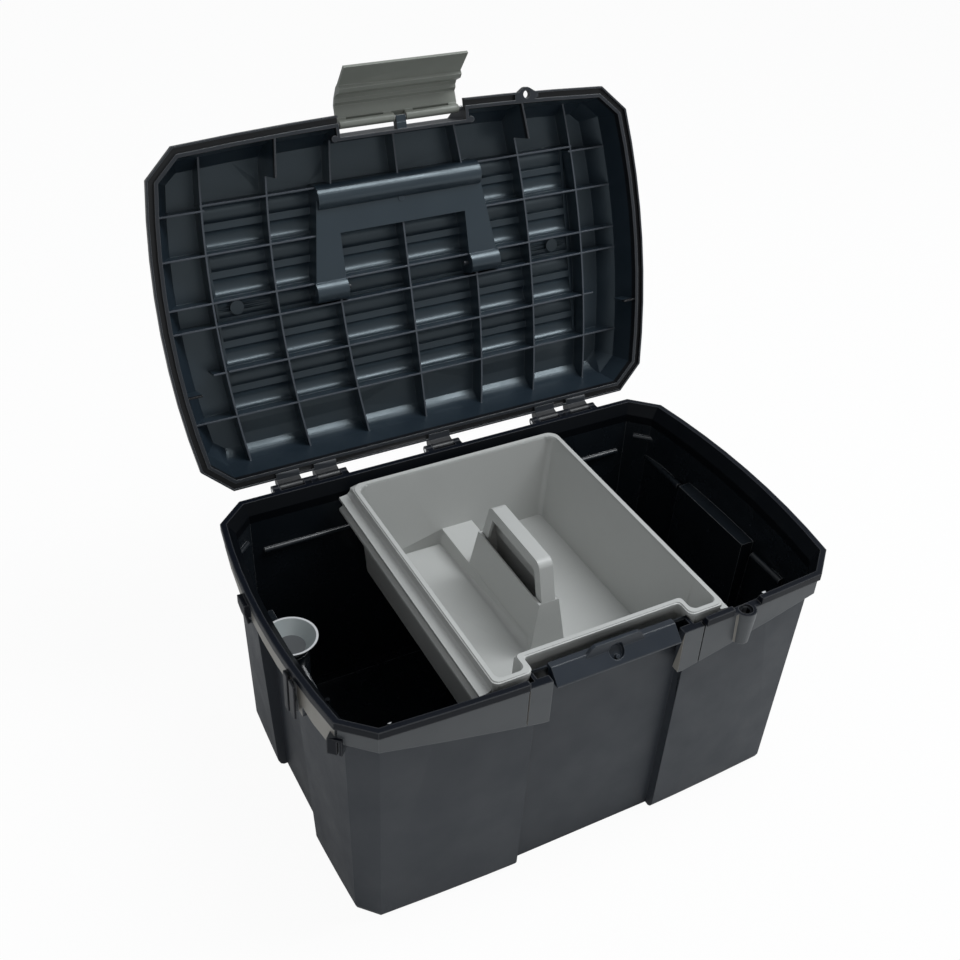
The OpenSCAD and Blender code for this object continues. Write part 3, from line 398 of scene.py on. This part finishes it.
# %% [markdown]
# ## Dressing a moulding
# A frame part is a soup of triangles with every edge hard. A copy with its doubles merged can be
# shaded smooth across the shallow steps of a curve and kept crisp everywhere else. Weighted normals
# then keep each broad flat face truly flat where it meets a curve, which is how a moulded panel
# looks. The copy's faces can take different finishes, and it stands for the frame part.

# %% Dress helper
CURVE_STEP = math.radians(9.3)
TRAY_CURVE_STEP = math.radians(13)
MERGE = 0.002 * MM
FLAT_WEIGHT = 100
STEP_OFF = 1.2 * MM           # a ray starts this far off the face that sends it


def cut_level(bm, point, normal):
    """A flat cut through the whole mesh, which gives it a row of points there."""
    bmesh.ops.bisect_plane(bm, geom=bm.verts[:] + bm.edges[:] + bm.faces[:],
                           plane_co=point, plane_no=normal)


def meets_plastic(tree, face, step, rays):
    """Whether every ray that leaves a face meets the same moulding again."""
    probe = face.calc_center_median() + face.normal * step
    return all(tree.ray_cast(probe, ray)[0] for ray in rays)


def dress(name, cad_node, body, finishes, finish_of=None, curve_step=CURVE_STEP,
          reshape=None):
    """A merged, smooth-shaded copy of a frame part, with a finish picked for each face."""
    bm = bmesh.new()
    bm.from_mesh(frame["nodes"][cad_node].data)
    bmesh.ops.remove_doubles(bm, verts=bm.verts, dist=MERGE)
    if reshape:
        reshape(bm)
    if finish_of:
        tree = BVHTree.FromBMesh(bm)
        for face in bm.faces:
            face.material_index = finishes.index(finish_of(tree, face))
    for face in bm.faces:
        face.smooth = True
    mesh = bpy.data.meshes.new(name)
    bm.to_mesh(mesh)
    bm.free()
    mesh.set_sharp_from_angle(angle=curve_step)
    for finish in finishes:
        mesh.materials.append(finish)
    piece = bpy.data.objects.new(name, mesh)
    scene.collection.objects.link(piece)
    flats = piece.modifiers.new("flat_panels", "WEIGHTED_NORMAL")
    flats.weight = FLAT_WEIGHT
    flats.keep_sharp = True
    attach(piece, body)
    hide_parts(cad_node)
    print(name, len(mesh.polygons), "faces")


# %% [markdown]
# ## The tub
# The tub is one moulding with eight finishes: grained walls, a satin skirt painted lighter than
# the walls as painted light and lighter still on its sideways faces, a black rim with its holders,
# a slightly bluer catch, a glossy inside that is painted darker and duller in a band under the rim
# as painted shade, and studs painted pale as painted glints. They could be picked by hand in the
# editor, but a rule that looks at where a face lies sets them again whenever the frame changes. A
# face belongs to the inside if nearly level rays from it meet plastic on all four sides, and to the
# skirt if it lies close to the rim's outline seen from above. A level cut gives the inner band's
# painted shade a clean lower edge.

# %% The rim's outline
HALF_WIDTH, SIDE_BOW = 200 * MM, 9.6 * MM
HALF_DEPTH, FRONT_BOW = 129.35 * MM, 6 * MM
CORNER_FACING, CORNER_REACH = Vector((0.68, 0.7332)), 215.9 * MM


def rim_margin(point):
    """How far a point lies inside the rim's outline, seen from above."""
    x, y = abs(point.x), abs(point.y)
    bow = FRONT_BOW * (1 - (x / HALF_WIDTH) ** 2) if point.y < 0 else 0
    side = HALF_WIDTH + SIDE_BOW * (1 - (y / HALF_DEPTH) ** 2) - x
    front = HALF_DEPTH + bow - y
    return min(side, front, CORNER_REACH - CORNER_FACING.dot(Vector((x, y))))


print("the rim is", round(2000 * (HALF_WIDTH + SIDE_BOW)), "mm wide over its bowed sides")

# %% Zones of the tub
RIM_BAND = 7 * MM             # drops are counted down from the rim
INNER_BAND = 17 * MM
SKIRT_DROP = 45 * MM
SKIRT_STANDS_IN = 5.5 * MM    # margins are counted inwards from the rim's outline
WALL_STANDS_IN = 11 * MM
HOLDER_STANDS_IN, HOLDER_SIDE = 0.9 * MM, -150 * MM
CATCH_HALF, CATCH_FRONT, CATCH_DROP = 51 * MM, -118 * MM, 14 * MM
STUD_TOP, STUD_FOOT, STUD_STANDS_IN = 2 * MM, 4 * MM, 4.5 * MM
FACES_UP, FACES_OUT, FACES_SIDEWAYS = 0.9, 0.6, 0.95
RAY_FALL = -0.1
NEARLY_LEVEL = [Vector((x, y, RAY_FALL)) for x, y in ((1, 0), (-1, 0), (0, 1), (0, -1))]


def looks_out(normal, centre):
    """How much a face looks away from the middle of the box, across or along it."""
    return max(math.copysign(normal.x, normal.x * centre.x),
               math.copysign(normal.y, normal.y * centre.y))


def tub_finish(tree, face):
    """The finish of one face of the tub."""
    centre = face.calc_center_median()
    drop = RIM_Z - centre.z
    margin = rim_margin(centre)
    if drop < CATCH_DROP and abs(centre.x) < CATCH_HALF and centre.y < CATCH_FRONT:
        return catch_satin
    behind_skirt = margin < WALL_STANDS_IN and looks_out(face.normal, centre) > FACES_OUT
    if not behind_skirt and meets_plastic(tree, face, STEP_OFF, NEARLY_LEVEL):
        # the studs' top faces are painted pale, a painted glint
        on_stud = STUD_TOP < drop < STUD_FOOT and margin > STUD_STANDS_IN
        if on_stud and face.normal.z > FACES_UP:
            return stud_painted_glint
        # the band under the rim is painted darker and duller, a painted shade
        return inner_band_painted_shade if drop < INNER_BAND else inner_gloss
    if drop < RIM_BAND:
        return rim_satin
    if drop > SKIRT_DROP or margin > SKIRT_STANDS_IN:
        return shell_grain
    if margin < HOLDER_STANDS_IN and centre.x < HOLDER_SIDE:
        return rim_satin
    # the skirt is painted lighter than the walls, and its sideways faces lighter still: painted
    # light
    return skirt_side_painted_light if abs(face.normal.x) > FACES_SIDEWAYS else skirt_satin_painted_light


# %% Tub


def cut_at_band(bm):
    """A level cut round the tub, so that the inner band's painted shade ends in a clean line."""
    cut_level(bm, (0, 0, RIM_Z - INNER_BAND), (0, 0, 1))
    bm.normal_update()


TUB_FINISHES = [shell_grain, rim_satin, inner_gloss, skirt_satin_painted_light, skirt_side_painted_light, inner_band_painted_shade,
                stud_painted_glint, catch_satin]
dress("tub_shell", "tub", "tub", TUB_FINISHES, tub_finish, reshape=cut_at_band)

# %% [markdown]
# ## The lid
# The lid's outside has the tub's grain and its ribbed inside is glossy. Its flange and the flat
# face of its lip are dark, the lip's edges are painted light as a painted highlight, and the free
# edges of the ribs are painted light too, a painted highlight. The lid stands open, so its rules
# could be written for a tilted shape, but they are simpler when a place on it is first turned back
# about the hinge line to where it lies when shut. There "down" is the open side, and a height
# above the rim tells flange, rib edge and panel apart.

# %% Zones of the lid
LID_OPEN = math.radians(107.65)
FLANGE_TOP = 4.7 * MM         # heights are counted up from the rim, on the shut lid
LIP_FACE = 0.8 * MM
RIB_EDGE, RIB_EDGE_BAND = 24.5 * MM, 0.4 * MM
FACES_DOWN, FLANGE_FACING = -0.9, 0.5
hinge = next(joint for joint in frame["joints"] if joint["name"] == "lid_hinge")
hinge_place = Vector(hinge["pos_m"])
shut_turn = Matrix.Rotation(LID_OPEN, 3, "X")
open_turn = shut_turn.inverted()
lid_up = open_turn @ Vector((0, 0, 1))
print("the lid's up is", [round(v, 3) for v in lid_up])


def when_shut(point):
    """Where a point of the open lid lies when the lid is shut, its height taken from the rim."""
    return shut_turn @ (point - hinge_place) + hinge_place - Vector((0, 0, RIM_Z))


def lid_finish(tree, face):
    """The finish of one face of the lid."""
    height = when_shut(face.calc_center_median()).z
    facing = (shut_turn @ face.normal).z
    if facing < FACES_DOWN and 0 < height < LIP_FACE:
        return lip_face
    # the ribs' free edges are painted light, a painted highlight
    if facing < FACES_DOWN and abs(height - RIB_EDGE) < RIB_EDGE_BAND:
        return rib_edge_painted_highlight
    if height < FLANGE_TOP and facing < FLANGE_FACING:
        return lid_rim
    return lid_gloss if meets_plastic(tree, face, STEP_OFF, [lid_up]) else shell_grain


# %% [markdown]
# The rear shoulder of the lid is a gentle curve and not a flat slope, and the flutes are shallow
# troughs. Both decide how the overhead light runs across the ribbed inside. A subdivision surface
# would round the whole moulding, ribs and all. Level cuts give only the shoulder the rows of points
# that it needs, and each row is pushed out a little, most at mid-height.

# %% Lid curves
SHOULDER_FOOT, SHOULDER_TOP = 24.5 * MM, 40.0 * MM
FOOT_INSET, TOP_INSET = 12.5 * MM, 22.0 * MM
SHOULDER_BULGE = 2.2 * MM
SHOULDER_CUTS = 9
SKIN_SLACK = 0.4 * MM
FLUTE_FOOT = 37.6 * MM
FLUTE_KEEP = 0.72             # the share of a flute's depth that stays
FLUTE_HALF, FLUTE_REACH = 158.5 * MM, 90 * MM
INNER_SKIN_FACING = 0.3


def lines_the_inside(vert):
    """Whether a vertex lies on the lid's inner skin and not on its outside."""
    facings = [(shut_turn @ face.normal).z for face in vert.link_faces]
    return max(facings) < INNER_SKIN_FACING and min(facings) < -INNER_SKIN_FACING


def on_a_flute(place):
    """Whether a place on the shut lid lies above the foot of the fluted panel."""
    beside = max(abs(place.x) / FLUTE_HALF, abs(place.y) / FLUTE_REACH)
    return place.z > FLUTE_FOOT and beside < 1


# %% Lid


def round_lid(bm):
    """Rounds the rear shoulder and flattens the inner flutes."""
    run, rise = TOP_INSET - FOOT_INSET, SHOULDER_TOP - SHOULDER_FOOT
    steps = [SHOULDER_FOOT + rise * i / SHOULDER_CUTS for i in range(1, SHOULDER_CUTS)]
    for height in [FLANGE_TOP] + steps:
        level = open_turn @ (Vector((0, 0, height + RIM_Z)) - hinge_place) + hinge_place
        cut_level(bm, level, lid_up)
    bm.normal_update()
    push = open_turn @ Vector((0, rise, run)).normalized()
    slope_squared = run ** 2 + rise ** 2
    moves = {}
    for vert in bm.verts:
        place = when_shut(vert.co)
        inset = HALF_DEPTH - place.y
        along = ((inset - FOOT_INSET) * run + (place.z - SHOULDER_FOOT) * rise) / slope_squared
        if 0 < along < 1 and inset < FOOT_INSET + run * along + SKIN_SLACK:
            moves[vert] = push * (SHOULDER_BULGE * 4 * along * (1 - along))
        elif on_a_flute(place) and lines_the_inside(vert):
            moves[vert] = lid_up * ((FLUTE_KEEP - 1) * (place.z - FLUTE_FOOT))
    for vert, move in moves.items():
        vert.co += move
    print(len(moves), "points of the lid eased")


LID_FINISHES = [shell_grain, lid_gloss, lid_rim, rib_edge_painted_highlight, lip_face]
dress("lid_shell", "lid", "lid", LID_FINISHES, lid_finish, reshape=round_lid)

# %% [markdown]
# ## The tray and its grip
# Tray and grip are one moulding in a light, warm grey. The grip is hollow and open on its left, and
# the hollow lies in shade. A lamp set lower would darken it too, but it would change the whole box,
# so the faces of the hollow are painted dark, a painted shade. They are the ones from which rays
# meet the grip again to the front, the rear, above and below.

# %% Tray and grip
TRAY_FINISHES = [tray_grey, hollow_painted_shade]
GRIP_STEP_OFF = 0.2 * MM
GRIP_RAYS = [Vector((0, 1, 0)), Vector((0, -1, 0)), Vector((0, 0, 1)), Vector((0, 0, -1))]


def grip_finish(tree, face):
    """The finish of one face of the grip, with painted shade inside its hollow."""
    hollow = meets_plastic(tree, face, GRIP_STEP_OFF, GRIP_RAYS)
    return hollow_painted_shade if hollow else tray_grey


dress("lift_out_tray", "tray", "tray", TRAY_FINISHES, curve_step=TRAY_CURVE_STEP)
dress("tray_grip_loop", "tray_grip", "tray", TRAY_FINISHES, grip_finish)

# %% [markdown]
# ## The smaller mouldings and the pins
# The latch and the carry handle are single mouldings in one finish each, so nothing has to be
# picked by face. The cup could have one finish too, but its floor is painted darker as a painted
# shade and the top of its mouth is painted pale as a painted highlight, so it has three. The pins
# keep the frame's own meshes, which are plain rods already: the handle turns on two plastic pegs,
# and all the others are wire.

# %% Latch and handle
dress("snap_latch", "latch", "latch", [latch_grey])
dress("folding_handle", "carry_handle", "handle", [handle_satin])

# %% Cup
CUP_FINISHES = [cup_grey, cup_floor_painted_shade, cup_rim_painted_highlight]
CUP_MOUTH_BAND = 5 * MM
cup_floor_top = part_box("tool_cup")[1].z - CUP_MOUTH_BAND


def cup_finish(tree, face):
    """The finish of one face of the cup: painted shade on its floor, a painted highlight on its
    mouth.
    """
    if face.normal.z < FACES_UP:
        return cup_grey
    return cup_floor_painted_shade if face.calc_center_median().z < cup_floor_top else cup_rim_painted_highlight


dress("side_cup", "tool_cup", "cup", CUP_FINISHES, cup_finish)

# %% Pins
for name, cad in frame["nodes"].items():
    if "pin" in name:
        finish = handle_satin if "handle" in name else pin_wire
        cad.data.materials.clear()
        cad.data.materials.append(finish)
        print(name, "in", finish.name)
